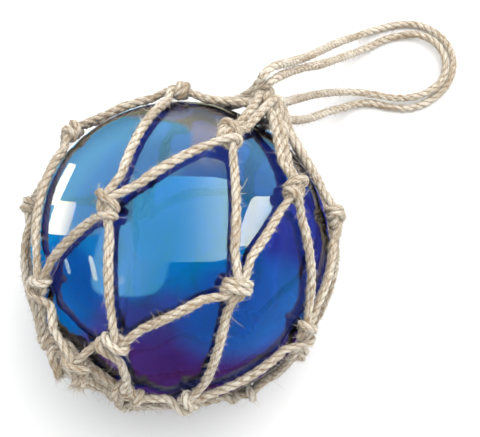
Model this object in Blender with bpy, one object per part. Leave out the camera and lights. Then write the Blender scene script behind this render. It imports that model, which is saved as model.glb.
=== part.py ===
"""Glass float ball: a sealed ball of blown glass in a knotted rope net, with a doubled rope loop to hang it by.

Metres, +Z up. The ball stands on a small flat spot at the origin, with its centre straight above. The net's axis
lies in the XZ plane and leans up a little towards +X, where the ropes gather and the loop comes out; the cut tails of
the net are gathered at the other end. The loop comes down from its gather and lies on the surface the ball stands on.
"""
from math import acos, cos, pi, radians, sin

import bmesh
import bpy
from mathutils import Matrix, Vector

# The glass ball
BALL_RADIUS = 0.075
BALL_RINGS = 24                                   # bands of facets from pole to pole
BALL_SEGMENTS = 28
REST_SPOT_ANGLE = pi / BALL_RINGS                 # the lowest band is cut off flat, which leaves the rest spot
BALL_HEIGHT = BALL_RADIUS * cos(REST_SPOT_ANGLE)  # of its centre over the surface
BALL_CENTRE = Vector((0, 0, BALL_HEIGHT))

# The rope
ROPE_DIAMETER = 0.0044
ROPE_RADIUS = ROPE_DIAMETER / 2
GLASS_CLEARANCE = 0.0005                          # between the glass and the ropes that lie on it
ROPE_LAY_RADIUS = BALL_RADIUS + GLASS_CLEARANCE + ROPE_RADIUS
PAIR_SPACING = 0.0047                             # between the middles of two ropes that run side by side
ROPE_STEP = 0.021                                 # between the points of a rope of the net

# The knots: half their length along the net, half their width, half their height off the glass
KNOT_SIZE = Vector((0.0064, 0.0056, 0.0044))
KNOT_RADIUS = BALL_RADIUS + GLASS_CLEARANCE + KNOT_SIZE.z

# The net, in angles about its axis: the polar angle is measured from the loop's end, the azimuth from +Y upwards.
# Each ring has a knot for every mesh; a knot lies between two knots of the ring above it.
AXIS_TILT = radians(10.6)
KNOT_RINGS = [
    [(40, 31), (46, 87), (47, 125), (40, 173), (45, 212), (50, 272), (50, 335)],
    [(92, 75), (88, 122), (84, 164), (92, 203), (97, 240), (86, 308), (78, 381)],
    [(129, 104), (130, 157), (114, 201), (130, 232), (142, 268), (109, 364), (130, 416)],
    [(149, 143), (158, 187), (164, 228), (167, 280), (160, 350), (154, 415), (150, 448)],
]
LOOP_GATHER = (17.7, 67.5)
LOOP_GATHER_RADIUS = 0.0873                       # from the ball's centre to the gather's middle
LOOP_GATHER_SIZE = Vector((0.0068, 0.0072, 0.0062))
TAIL_GATHER = (153.2, 87.1)
TAIL_GATHER_RADIUS = 0.0825
TAIL_GATHER_SIZE = Vector((0.0074, 0.0082, 0.0060))
TAILS = [(0.0034, Vector((-0.0870, 0.0040, 0.0970))), (0.0047, Vector((-0.0840, -0.0100, 0.0985)))]

# The routes of the loop's two ropes, from the gather, out along the surface and back
OUTER_ROUTE = [
    (0.0830, 0.0160, 0.1180), (0.0880, 0.0165, 0.1180), (0.0950, 0.0165, 0.1130), (0.1040, 0.0165, 0.1015),
    (0.1150, 0.0170, 0.0870), (0.1300, 0.0180, 0.0680), (0.1470, 0.0200, 0.0470), (0.1640, 0.0210, 0.0280),
    (0.1790, 0.0200, 0.0130), (0.1910, 0.0170, 0.0050), (0.2010, 0.0120, 0.0025), (0.2100, 0.0045, 0.0024),
    (0.2160, -0.0040, 0.0024), (0.2180, -0.0140, 0.0024), (0.2160, -0.0250, 0.0024), (0.2100, -0.0335, 0.0024),
    (0.2000, -0.0390, 0.0024), (0.1890, -0.0405, 0.0024), (0.1780, -0.0380, 0.0024), (0.1680, -0.0320, 0.0024),
    (0.1610, -0.0225, 0.0024), (0.1560, -0.0125, 0.0025), (0.1490, -0.0060, 0.0040), (0.1390, -0.0030, 0.0120),
    (0.1240, -0.0010, 0.0290), (0.1080, -0.0005, 0.0490), (0.0950, 0.0000, 0.0690), (0.0855, 0.0010, 0.0860),
    (0.0823, 0.0020, 0.0940), (0.0812, 0.0030, 0.0998),
]
INNER_ROUTE = [
    (0.0846, 0.0128, 0.1139), (0.0886, 0.0124, 0.1126), (0.0930, 0.0125, 0.1088), (0.0996, 0.0134, 0.1000),
    (0.1070, 0.0142, 0.0900), (0.1170, 0.0140, 0.0780), (0.1300, 0.0132, 0.0618), (0.1430, 0.0132, 0.0456),
    (0.1565, 0.0136, 0.0292), (0.1710, 0.0135, 0.0125), (0.1830, 0.0110, 0.0045), (0.1940, 0.0070, 0.0024),
    (0.2020, 0.0015, 0.0029), (0.2080, -0.0055, 0.0044), (0.2105, -0.0135, 0.0058), (0.2100, -0.0220, 0.0060),
    (0.2060, -0.0295, 0.0060), (0.1990, -0.0350, 0.0060), (0.1905, -0.0368, 0.0060), (0.1815, -0.0348, 0.0060),
    (0.1730, -0.0295, 0.0060), (0.1660, -0.0220, 0.0060), (0.1610, -0.0130, 0.0060), (0.1560, -0.0045, 0.0066),
    (0.1490, 0.0020, 0.0100), (0.1390, 0.0060, 0.0210), (0.1260, 0.0080, 0.0380), (0.1120, 0.0085, 0.0570),
    (0.0990, 0.0080, 0.0760), (0.0905, 0.0075, 0.0895), (0.0850, 0.0082, 0.1010),
]
LOOP_POINT_SPACING = 0.0122                       # between the points of a loop rope's tube

NET_AXIS = Vector((cos(AXIS_TILT), 0, sin(AXIS_TILT)))
SIDE_AXIS = Vector((0, 1, 0))
UP_AXIS = NET_AXIS.cross(SIDE_AXIS)


def clear_scene():
    for thing in list(bpy.data.objects):
        bpy.data.objects.remove(thing, do_unlink=True)


def collection(name):
    group = bpy.data.collections.new(name)
    bpy.context.scene.collection.children.link(group)
    return group


def material(name, colour, roughness):
    look = bpy.data.materials.new(name)
    look.use_nodes = True
    shader = look.node_tree.nodes["Principled BSDF"]
    shader.inputs["Base Color"].default_value = (*colour, 1)
    shader.inputs["Roughness"].default_value = roughness
    shader.inputs["Metallic"].default_value = 0
    return look


def direction(polar, azimuth):
    """The unit vector from the ball's centre to a place on the net, from its two angles in degrees."""
    p, a = radians(polar), radians(azimuth)
    return cos(p) * NET_AXIS + sin(p) * (cos(a) * SIDE_AXIS + sin(a) * UP_AXIS)


def taut_path(start, end, steps):
    """The middle line of a rope drawn taut between two places, straight where it is off the glass."""
    a, b = start.normalized(), end.normalized()
    whole = a.angle(b)
    lift_a = acos(min(1, ROPE_LAY_RADIUS / start.length))
    lift_b = acos(min(1, ROPE_LAY_RADIUS / end.length))
    corner_radius = ROPE_LAY_RADIUS / cos(whole / steps / 2)  # so that the straight stretches between clear the glass
    path = []
    for i in range(steps + 1):
        turn = whole * i / steps
        along = (sin(whole - turn) * a + sin(turn) * b) / sin(whole)
        off = max(0, lift_a - turn, lift_b - (whole - turn))
        path.append(along * corner_radius / cos(off))
    return path


def smooth_path(points, spacing):
    """Evenly spaced points on the smooth curve through a route's points."""
    route = [Vector(p) for p in points]
    route = [2 * route[0] - route[1]] + route + [2 * route[-1] - route[-2]]
    fine = []
    for p0, p1, p2, p3 in zip(route, route[1:], route[2:], route[3:]):
        for i in range(16):
            t = i / 16
            fine.append((2 * p1 + (p2 - p0) * t + (2 * p0 - 5 * p1 + 4 * p2 - p3) * t * t
                         + (3 * p1 - p0 - 3 * p2 + p3) * t ** 3) / 2)
    fine.append(route[-2])
    length = sum((b - a).length for a, b in zip(fine, fine[1:]))
    count = round(length / spacing)
    path, travelled, wanted = [fine[0]], 0, length / count
    for a, b in zip(fine, fine[1:]):
        step = (b - a).length
        while travelled + step >= wanted - 1e-9 and len(path) < count:
            path.append(a.lerp(b, (wanted - travelled) / step))
            wanted += length / count
        travelled += step
    return path + [fine[-1]]


def tube(name, points, radius, sides_level, group, look):
    """A round rope or tail along a line of points, as a curve with filled ends."""
    curve = bpy.data.curves.new(name, "CURVE")
    curve.dimensions = "3D"
    curve.bevel_depth = radius
    curve.bevel_resolution = sides_level
    curve.render_resolution_u = 0
    curve.use_fill_caps = True
    curve.materials.append(look)
    spline = curve.splines.new("POLY")
    spline.points.add(len(points) - 1)
    for point, place in zip(spline.points, points):
        point.co = (*place, 1)
    thing = bpy.data.objects.new(name, curve)
    group.objects.link(thing)
    return thing


def as_mesh(curve_object):
    """The same piece as a closed mesh, with its end caps welded on."""
    graph = bpy.context.evaluated_depsgraph_get()
    mesh = bpy.data.meshes.new_from_object(curve_object.evaluated_get(graph))
    shape = bmesh.new()
    shape.from_mesh(mesh)
    bmesh.ops.remove_doubles(shape, verts=shape.verts, dist=1e-6)
    shape.to_mesh(mesh)
    shape.free()
    name = curve_object.name
    group = curve_object.users_collection[0]
    place = curve_object.matrix_world.copy()
    bpy.data.objects.remove(curve_object)
    thing = bpy.data.objects.new(name, mesh)
    thing.matrix_world = place
    group.objects.link(thing)
    return thing


def lump(name, middle, size, segments, rings, group, look):
    """A rounded knot on the ball: its length lies along the net's meridian and its height points off the glass."""
    out = middle.normalized()
    across = NET_AXIS.cross(out).normalized()
    along = across.cross(out)
    shape = bmesh.new()
    bmesh.ops.create_uvsphere(shape, u_segments=segments, v_segments=rings, radius=1)
    turn = Matrix((along, across, out)).transposed().to_4x4()
    shape.transform(Matrix.Translation(BALL_CENTRE + middle) @ turn @ Matrix.Diagonal((*size, 1)))
    mesh = bpy.data.meshes.new(name)
    shape.to_mesh(mesh)
    shape.free()
    mesh.materials.append(look)
    thing = bpy.data.objects.new(name, mesh)
    group.objects.link(thing)
    return thing


def make_ball(group, look):
    shape = bmesh.new()
    bmesh.ops.create_uvsphere(shape, u_segments=BALL_SEGMENTS, v_segments=BALL_RINGS, radius=BALL_RADIUS)
    lowest = min(shape.verts, key=lambda vert: vert.co.z)
    bmesh.ops.delete(shape, geom=[lowest], context="VERTS")
    rim = [edge for edge in shape.edges if edge.is_boundary]
    bmesh.ops.contextual_create(shape, geom=rim)
    bmesh.ops.recalc_face_normals(shape, faces=shape.faces)
    mesh = bpy.data.meshes.new("glass_ball")
    shape.to_mesh(mesh)
    shape.free()
    mesh.materials.append(look)
    mesh.shade_smooth()
    mesh.set_sharp_from_angle(angle=radians(12))
    ball = bpy.data.objects.new("glass_ball", mesh)
    ball.location = BALL_CENTRE
    group.objects.link(ball)


def net_rope(name, start, end, offset, group, look):
    """A rope of the net between two places, moved sideways where it is one of a pair."""
    steps = max(2, round(start.angle(end) * ROPE_LAY_RADIUS / ROPE_STEP))
    side = start.cross(end).normalized() * offset
    points = [BALL_CENTRE + place + side for place in taut_path(start, end, steps)]
    return as_mesh(tube(name, points, ROPE_RADIUS, 1, group, look))


def make_net(group, pieces, look):
    """The ropes, knots, gathers and tails, joined where they are tied together."""
    rings = [[direction(*angles) * KNOT_RADIUS for angles in ring] for ring in KNOT_RINGS]
    loop_gather = direction(*LOOP_GATHER) * LOOP_GATHER_RADIUS
    tail_gather = direction(*TAIL_GATHER) * TAIL_GATHER_RADIUS
    for level, ring in enumerate(rings):
        for i, middle in enumerate(ring):
            lump(f"knot_{level}_{i}", middle, KNOT_SIZE, 8, 6, pieces, look)
    for level, (upper, lower) in enumerate(zip(rings, rings[1:])):
        for i, middle in enumerate(lower):
            net_rope(f"rope_{level}_{i}_a", upper[i], middle, 0, pieces, look)
            net_rope(f"rope_{level}_{i}_b", upper[(i + 1) % len(upper)], middle, 0, pieces, look)
    for side in (-PAIR_SPACING / 2, PAIR_SPACING / 2):
        for i, middle in enumerate(rings[0]):
            net_rope(f"loop_end_{i}", loop_gather, middle, side, pieces, look)
        for i, middle in enumerate(rings[-1]):
            net_rope(f"tail_end_{i}", tail_gather, middle, side, pieces, look)
    lump("tail_gather", tail_gather, TAIL_GATHER_SIZE, 10, 8, pieces, look)
    for i, (radius, tip) in enumerate(TAILS):
        as_mesh(tube(f"tail_{i}", [BALL_CENTRE + tail_gather, tip], radius, 2, pieces, look))
    for piece in pieces.objects:
        piece.hide_render = True
        piece.display_type = "WIRE"
    net = lump("rope_net", loop_gather, LOOP_GATHER_SIZE, 10, 8, group, look)
    join = net.modifiers.new("tie together", "BOOLEAN")
    join.operation = "UNION"
    join.operand_type = "COLLECTION"
    join.collection = pieces
    join.solver = "EXACT"
    join.use_self = True


def make_loop(group, look):
    for name, route in (("loop_rope_outer", OUTER_ROUTE), ("loop_rope_inner", INNER_ROUTE)):
        tube(name, smooth_path(route, LOOP_POINT_SPACING), ROPE_RADIUS, 2, group, look)


def main():
    clear_scene()
    parts = collection("glass_float_ball")
    pieces = collection("net_pieces")
    glass = material("blue_glass", (0.02, 0.14, 0.62), 0.03)
    jute = material("jute_rope", (0.70, 0.58, 0.40), 0.9)
    make_ball(parts, glass)
    make_net(parts, pieces, jute)
    make_loop(parts, jute)


main()
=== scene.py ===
"""The looks of a glass float: a ball of blue glass in a net of jute rope, lying with its loop on a floor.

Metres, +Z up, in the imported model's frame. The net is tied from fourteen ropes, and its knots are drawn tight
by a small simulation of ropes that push each other and the glass away. Each rope is a mesh of three strands.
"""
from functools import cache
from math import acos, cos, pi, radians, sin, sqrt

import bpy
import numpy as np
from bpy.props import FloatProperty, FloatVectorProperty, IntProperty, PointerProperty
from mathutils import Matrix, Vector


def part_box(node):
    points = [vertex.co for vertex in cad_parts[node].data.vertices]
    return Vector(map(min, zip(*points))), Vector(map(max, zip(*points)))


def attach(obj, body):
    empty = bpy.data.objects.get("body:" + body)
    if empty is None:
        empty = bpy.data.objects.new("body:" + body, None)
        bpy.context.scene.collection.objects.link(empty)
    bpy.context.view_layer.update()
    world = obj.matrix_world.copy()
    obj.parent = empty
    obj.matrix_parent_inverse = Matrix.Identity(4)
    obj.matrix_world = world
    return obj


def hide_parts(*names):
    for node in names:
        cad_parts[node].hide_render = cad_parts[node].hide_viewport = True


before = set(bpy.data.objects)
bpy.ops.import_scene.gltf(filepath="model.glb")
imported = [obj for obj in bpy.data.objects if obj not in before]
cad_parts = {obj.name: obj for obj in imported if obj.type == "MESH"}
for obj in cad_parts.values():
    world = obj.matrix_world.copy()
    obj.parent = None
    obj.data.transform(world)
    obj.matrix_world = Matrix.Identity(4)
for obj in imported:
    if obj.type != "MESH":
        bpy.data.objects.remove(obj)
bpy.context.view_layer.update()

bl_info = {
    "name": "Glass Float",
    "version": (1, 0, 0),
    "blender": (4, 5, 0),
    "location": "3D View > Sidebar > Float",
    "description": "Makes a glass float in its rope net, with a floor, a light and a camera",
    "category": "Add Mesh",
}

# The ball, as the frame holds it
BALL_LOW, BALL_HIGH = (np.array(corner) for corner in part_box("glass_ball"))
BALL_RADIUS = float(BALL_HIGH[0] - BALL_LOW[0]) / 2
BALL_CENTRE = np.array((0, 0, BALL_HIGH[2] - BALL_RADIUS))

# The rope as it lies on the glass
ROPE = 0.0044                                     # its diameter
GLASS_CLEARANCE = 0.0003                          # between the glass and the ropes on it
LAY_RADIUS = BALL_RADIUS + GLASS_CLEARANCE + ROPE / 2
PAIR_SPACING = 0.95 * ROPE                        # between the middles of two ropes that run side by side

# The net's axis leans up towards the loop. Its angles are in degrees: the polar angle from the loop's end,
# the azimuth from +Y upwards. A knot lies between two knots of the ring above it.
AXIS_TILT = radians(10.6)
KNOT_RINGS = [
    [(40, 31), (46, 87), (47, 125), (40, 173), (45, 212), (50, 272), (50, 335)],
    [(92, 75), (88, 122), (84, 164), (92, 203), (97, 240), (86, 308), (78, 381)],
    [(129, 104), (130, 157), (114, 201), (130, 232), (142, 268), (109, 364), (130, 416)],
    [(149, 143), (158, 187), (164, 228), (167, 280), (160, 350), (154, 415), (147, 450)],
]
MESHES = len(KNOT_RINGS[0])                       # round the net
LOOP_GATHER = (17.7, 67.5)
LOOP_GATHER_RADIUS = 0.0873                       # from the ball's centre
TAIL_GATHER = (153.2, 87.1)
TAIL_GATHER_RADIUS = 0.0800
NET_AXIS = np.array((cos(AXIS_TILT), 0, sin(AXIS_TILT)))
SIDE_AXIS = np.array((0, 1, 0))
UP_AXIS = np.cross(NET_AXIS, SIDE_AXIS)

# The routes of the loop's two ropes, from the gather, out along the floor and back
OUTER_ROUTE = [
    (0.0830, 0.0160, 0.1180), (0.0880, 0.0165, 0.1180), (0.0950, 0.0165, 0.1130), (0.1040, 0.0165, 0.1015),
    (0.1150, 0.0170, 0.0870), (0.1300, 0.0180, 0.0680), (0.1470, 0.0200, 0.0470), (0.1640, 0.0210, 0.0280),
    (0.1790, 0.0200, 0.0130), (0.1910, 0.0170, 0.0050), (0.2010, 0.0120, 0.0025), (0.2100, 0.0045, 0.0024),
    (0.2160, -0.0040, 0.0024), (0.2180, -0.0140, 0.0024), (0.2160, -0.0250, 0.0024),
    (0.2100, -0.0335, 0.0024), (0.2000, -0.0390, 0.0024), (0.1890, -0.0405, 0.0024),
    (0.1780, -0.0380, 0.0024), (0.1680, -0.0320, 0.0024), (0.1610, -0.0225, 0.0024),
    (0.1560, -0.0125, 0.0025), (0.1490, -0.0060, 0.0040), (0.1390, -0.0030, 0.0120),
    (0.1240, -0.0010, 0.0290), (0.1080, -0.0005, 0.0490), (0.0950, 0.0000, 0.0690),
    (0.0855, 0.0010, 0.0860), (0.0823, 0.0020, 0.0940), (0.0812, 0.0030, 0.0998),
]
INNER_ROUTE = [
    (0.0846, 0.0128, 0.1139), (0.0886, 0.0124, 0.1126), (0.0930, 0.0125, 0.1088), (0.0996, 0.0134, 0.1000),
    (0.1070, 0.0142, 0.0900), (0.1170, 0.0140, 0.0780), (0.1300, 0.0132, 0.0618), (0.1430, 0.0132, 0.0456),
    (0.1565, 0.0136, 0.0292), (0.1710, 0.0135, 0.0125), (0.1830, 0.0110, 0.0045), (0.1940, 0.0070, 0.0024),
    (0.2020, 0.0015, 0.0029), (0.2080, -0.0055, 0.0044), (0.2105, -0.0135, 0.0058),
    (0.2100, -0.0220, 0.0060), (0.2060, -0.0295, 0.0060), (0.1990, -0.0350, 0.0060),
    (0.1905, -0.0368, 0.0060), (0.1815, -0.0348, 0.0060), (0.1730, -0.0295, 0.0060),
    (0.1660, -0.0220, 0.0060), (0.1610, -0.0130, 0.0060), (0.1560, -0.0045, 0.0066),
    (0.1490, 0.0020, 0.0100), (0.1390, 0.0060, 0.0210), (0.1260, 0.0080, 0.0380), (0.1120, 0.0085, 0.0570),
    (0.0990, 0.0080, 0.0760), (0.0905, 0.0075, 0.0895), (0.0850, 0.0082, 0.1010),
]

# Where each pair of ropes from the first ring of knots hooks over the loop's ropes, in rope diameters from
# the gather: along the net's axis, to its side, and up. The last place of each is hidden in the gather.
LOOP_HOOKS = [
    [(-2.1, 1.2, 0.3), (-0.9, 0.3, 0.4), (0.0, -0.3, 0.1), (0.5, -0.4, -0.7), (0.2, -0.1, -1.3)],
    [(-1.4, -1.0, 2.2), (0.0, -0.6, 1.2), (1.0, -0.3, 0.5), (1.2, -0.3, -0.6), (0.4, 0.0, -1.2)],
    [(-2.0, -4.0, 2.1), (0.2, -1.2, 0.8), (0.9, -0.8, 0.4), (1.1, -0.5, -0.4), (0.4, 0.0, -1.3)],
    [(-1.5, -5.1, -1.8), (-0.3, -2.4, -1.2), (0.2, -1.5, -0.7), (0.7, -0.9, -1.0), (0.2, -0.3, -1.7)],
    [(-1.4, -4.5, -4.7), (0.2, -2.1, -2.7), (1.0, -1.4, -2.3), (1.4, -0.7, -2.0), (0.5, -0.2, -1.9)],
    [(-1.5, 0.2, -6.1), (0.5, 0.1, -3.9), (1.6, -0.7, -2.8), (1.6, -0.2, -1.8), (0.6, 0.1, -1.8)],
    [(-2.0, 2.0, -2.9), (-0.3, 1.3, -1.6), (1.2, 0.9, -1.6), (1.4, 0.0, -1.3), (0.5, 0.0, -1.6)],
]
# How the loop's two ropes run on through the gather, from the end of their routes to the start
OUTER_TURN = [(-0.3, -1.5, -2.4), (-0.5, -0.5, -1.1), (-0.5, 0.5, -0.3), (0.0, 1.2, 0.1)]
INNER_TURN = [(0.4, -0.5, -2.4), (0.1, 0.0, -1.4), (0.4, 0.6, -0.7)]

# Where the ropes of the last ring's knots end in the tail gather. The last knot covers the others' ends, and
# its own two ropes stick out of it, as does one rope of the knot before.
TAIL_ENDS = [
    [(-0.1, -1.0, -0.1), (-0.3, -0.0, 0.2), (-0.2, 0.6, -0.2)],
    [(-0.4, -1.2, -0.8), (-0.3, -0.3, -0.2), (-0.3, 0.4, -0.4)],
    [(-0.5, -0.8, -1.6), (-0.5, -0.2, -0.4), (-0.3, 0.4, -0.4)],
    [(-0.6, -0.2, -1.7), (-0.5, 0.1, -0.5), (-0.1, 0.2, -0.3)],
    [(-0.6, 0.9, -1.2), (-0.6, 0.4, -0.2), (-0.1, 0.1, -0.3)],
    [(0.0, 0.9, 0.0), (-0.2, 0.2, 0.4), (-0.2, -0.1, -0.4)],
]
LOOSE_TAIL = [(-0.5, 1.2, 0.6), (-1.3, 0.9, 0.7), (-2.0, 0.3, 0.5), (-2.4, -0.5, 0.3)]
LAST_KNOT_TAILS = (153, 115)                      # the way in which the last knot's two ropes leave it
LAST_KNOT_ENDS = (-1.7, -2.8, 0.8)                # where they end, from the tail gather
LAST_KNOT_LIFT = 1.0 * ROPE                       # over the ends beneath it

# An overhand knot before it is drawn tight, in rope diameters: to the right, up, and off the glass
OVERHAND = [
    (0, 3.2, 0), (0, 2.4, 0.1), (0, 1.6, 0.4), (0, 0.8, 0.9), (0, 0, 1.1), (0.05, -0.8, 0.9),
    (0.5, -1.5, 0.4), (1.3, -1.6, 0.2), (1.9, -0.9, 0.5), (1.8, 0.1, 1.3), (1, 0.8, 2), (0, 1.1, 2.2),
    (-1, 0.9, 1.9), (-1.7, 0.3, 1.1), (-1.6, -0.4, 0.3), (-0.8, -0.6, 0), (0, -0.5, 0), (0.7, -0.6, 0.5),
    (0.8, -1.2, 1.2), (0.6, -1.9, 1.2), (0.2, -2.6, 0.5), (0, -3.2, 0),
]
KNOT_POINTS = 52                                  # along each rope of a knot
KNOT_LEAD = 9                                     # points over which a knot's ropes turn to their neighbours
KNOT_REACH = 3.3 * ROPE                           # from a knot's middle to where its ropes lie on the glass
LONGEST_REACH = 0.45                              # of the way to the next knot
KNOT_GAP = 0.9                                    # between its ropes before it is drawn tight, in diameters
KNOT_WIDTH = 0.88                                 # of a rope that is drawn tight in a knot
LOOSE_SIDE = 0                                    # of the knot before the last, whose rope sticks out
GATHER_STEP = 0.0016                              # between a rope's points in the gathers
NET_STEP = 0.5 * ROPE                             # and between knots

# How ropes are drawn tight: how far a point moves to the middle of its neighbours in a round, and how near
# two ropes may come, in diameters
KNOT_PULL, KNOT_CONTACT = 0.6, 0.68
GATHER_PULL, GATHER_CONTACT = 0.35, 0.85
THIN_START = 0.5                                  # the ropes' thickness at first, in diameters
SWELLING = 0.6                                    # of the rounds, until they have their full thickness
NEAR_ALONG = 1.75                                 # gaps along one rope within which it doesn't push itself
PUSH = 0.8                                        # of an overlap that is undone at a time
LONGEST_MOVE = 0.12 * ROPE                        # of a point in a round
TINY = 1e-12                                      # keeps divisions from zero


# Settings


class FloatRopeSettings(bpy.types.PropertyGroup):
    """The jute rope."""

    pitch: FloatProperty(name="Pitch", description="Length of one turn of a strand", default=0.0153,
                         unit="LENGTH")
    girth: FloatProperty(name="Girth", description="The rope's thickness against its nominal one",
                         default=1.03)
    strand: FloatProperty(name="Strand", description="Strand radius against the rope's radius", default=0.68,
                          min=0.5, max=0.9)
    pale: FloatVectorProperty(name="Pale", description="Bleached fibres", subtype="COLOR",
                              default=(0.77, 0.715, 0.61))
    tan: FloatVectorProperty(name="Tan", description="Fibres that kept their colour", subtype="COLOR",
                             default=(0.36, 0.265, 0.165))
    # Painted shade: the colour that the grooves between the strands are darkened towards
    shade: FloatVectorProperty(name="Shade", description="Between the strands", subtype="COLOR",
                               default=(0.24, 0.15, 0.075))
    short_fibres: FloatProperty(name="Short Fibres", description="For each millimetre of rope", default=4.5)
    short_length: FloatProperty(name="Short Length", description="Of a short fibre", default=0.0019,
                                unit="LENGTH")
    long_fibres: FloatProperty(name="Long Fibres", description="For each millimetre of rope", default=0.12)
    frayed_fibres: IntProperty(name="Frayed Fibres", description="At each cut end", default=60)
    long_length: FloatProperty(name="Long Length", description="Of a long fibre", default=0.0055,
                               unit="LENGTH")


class FloatGlassSettings(bpy.types.PropertyGroup):
    """The blown glass."""

    wall: FloatProperty(name="Wall", description="Thickness of the glass", default=0.0032, unit="LENGTH")
    ripple: FloatProperty(name="Ripple", description="Depth of the waves inside the glass", default=0.00035,
                          unit="LENGTH")
    colour: FloatVectorProperty(name="Colour", description="What a thickness of glass lets through",
                                subtype="COLOR", default=(0.11, 0.29, 0.67))
    density: FloatProperty(name="Density", description="How strongly a metre of glass takes up light",
                           default=700)


class FloatStudioSettings(bpy.types.PropertyGroup):
    """The floor, the light and the camera."""

    aim: FloatVectorProperty(name="Aim", description="Point that the camera looks at", subtype="TRANSLATION",
                             unit="LENGTH", default=(0.0321, -0.0122, 0.0744))
    distance: FloatProperty(name="Distance", description="From the camera to that point", default=0.5593,
                            unit="LENGTH")
    azimuth: FloatProperty(name="Azimuth", description="Of the camera, from +X towards +Y",
                           default=radians(219.2), unit="ROTATION")
    elevation: FloatProperty(name="Elevation", description="Of the camera over the floor",
                             default=radians(72), unit="ROTATION")
    lens: FloatProperty(name="Lens", description="Focal length in millimetres", default=82.49)
    sky: FloatVectorProperty(name="Sky", description="Colour of the soft light all round", subtype="COLOR",
                             default=(0.96, 0.98, 1.0))
    sky_strength: FloatProperty(name="Sky Strength", description="Strength of that light", default=0.95)
    floor: FloatVectorProperty(name="Floor", description="Colour of the floor", subtype="COLOR",
                               default=(0.86, 0.86, 0.86))


# Vectors and paths


def unit(vectors):
    return vectors / np.linalg.norm(vectors, axis=-1, keepdims=True)


def net_direction(angles):
    """The unit vector from the ball's centre to a place on the net."""
    polar, azimuth = (radians(angle) for angle in angles)
    return cos(polar) * NET_AXIS + sin(polar) * (cos(azimuth) * SIDE_AXIS + sin(azimuth) * UP_AXIS)


def heading(start, end):
    """The direction in which the shortest way from one place on the ball to another sets out."""
    return unit(end - start * (start @ end))


def arc(start, end, step):
    """Points over the glass from one place to another, without the last one."""
    low, high = np.linalg.norm(start), np.linalg.norm(end)
    a, b = unit(start), unit(end)
    whole = acos(np.clip(a @ b, -1, 1))
    count = max(1, round(whole * low / step))
    share = np.arange(count)[:, None] / count
    ways = (np.sin(whole * (1 - share)) * a + np.sin(whole * share) * b) / sin(whole)
    return ways * (low + (high - low) * share)


def through(points, parts):
    """The smooth curve through a few points."""
    points = np.asarray(points, float)
    points = np.vstack([2 * points[0] - points[1], points, 2 * points[-1] - points[-2]])
    t = np.arange(parts)[:, None] / parts
    curve = [
        (2 * p1 + (p2 - p0) * t + (2 * p0 - 5 * p1 + 4 * p2 - p3) * t ** 2
         + (3 * p1 - p0 - 3 * p2 + p3) * t ** 3) / 2
        for p0, p1, p2, p3 in zip(points, points[1:], points[2:], points[3:])
    ]
    return np.vstack(curve + [points[-2:-1]])


def rounded(points, parts):
    """The smooth curve that runs near many points, with their small unevenness taken out."""
    points = np.vstack([2 * points[0] - points[1], points, 2 * points[-1] - points[-2]])
    t = np.arange(parts)[:, None] / parts
    weights = (1 - t) ** 3, 3 * t ** 3 - 6 * t ** 2 + 4, -3 * t ** 3 + 3 * t ** 2 + 3 * t + 1, t ** 3
    curve = [
        sum(weight * p for weight, p in zip(weights, quad)) / 6
        for quad in zip(points, points[1:], points[2:], points[3:])
    ]
    return np.vstack(curve + [points[-2:-1]])


def spaced(path, count):
    """Evenly spaced points on a path, with what else is given for each point."""
    along = np.concatenate([[0], np.cumsum(np.linalg.norm(np.diff(path[:, :3], axis=0), axis=1))])
    wanted = np.linspace(0, along[-1], count)
    return np.stack([np.interp(wanted, along, column) for column in path.T], axis=1)


def length_of(path):
    return float(np.linalg.norm(np.diff(path, axis=0), axis=1).sum())


# Ropes that are drawn tight


def settle(ropes, held, rounds, pull, contact, radius=LAY_RADIUS):
    """Draws ropes tight while they push each other and the glass away, and returns their new middle lines.

    ropes are arrays of points about the ball's centre, and held says which of their points stay in place.
    The ropes start thin, so that a loosely drawn knot clears itself, and swell to full thickness on the way.
    """
    sizes = [len(rope) for rope in ropes]
    points = np.vstack(ropes)
    stays = np.concatenate(held)
    owner = np.repeat(np.arange(len(ropes)), sizes)
    place = np.concatenate([np.arange(size) for size in sizes])
    inner = np.flatnonzero(~stays)
    same = owner[:, None] == owner[None]
    apart = np.abs(place[:, None] - place[None])
    for turn in range(rounds):
        swell = min(1, turn / (SWELLING * rounds))
        gap = ROPE * (THIN_START + (contact - THIN_START) * swell)
        before = points.copy()
        points[inner] += pull * ((points[inner - 1] + points[inner + 1]) / 2 - points[inner])
        steps = np.linalg.norm(points[inner] - points[inner - 1], axis=1).mean()
        near_along = same & (apart * steps < NEAR_ALONG * gap)
        for _ in range(2):
            squares = (points ** 2).sum(axis=1)
            away = np.sqrt(np.maximum(squares[:, None] + squares[None] - 2 * points @ points.T, TINY))
            touching = (away < gap) & ~near_along
            push = np.where(touching, (gap - away) / away, 0)
            moves = points * push.sum(axis=1)[:, None] - push @ points
            points += PUSH * moves / np.maximum(touching.sum(axis=1), 1)[:, None]
            points = off_glass(points, radius)
            points[stays] = before[stays]
        moved = points - before
        far = np.linalg.norm(moved, axis=1, keepdims=True)
        points = before + moved * np.minimum(1, LONGEST_MOVE / np.maximum(far, TINY))
    return np.split(points, np.cumsum(sizes)[:-1])


def off_glass(points, radius):
    """Points about the ball's centre, moved straight out where they are nearer to it than a radius."""
    away = np.linalg.norm(points, axis=-1, keepdims=True)
    return points * np.maximum(1, radius / away)


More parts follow.
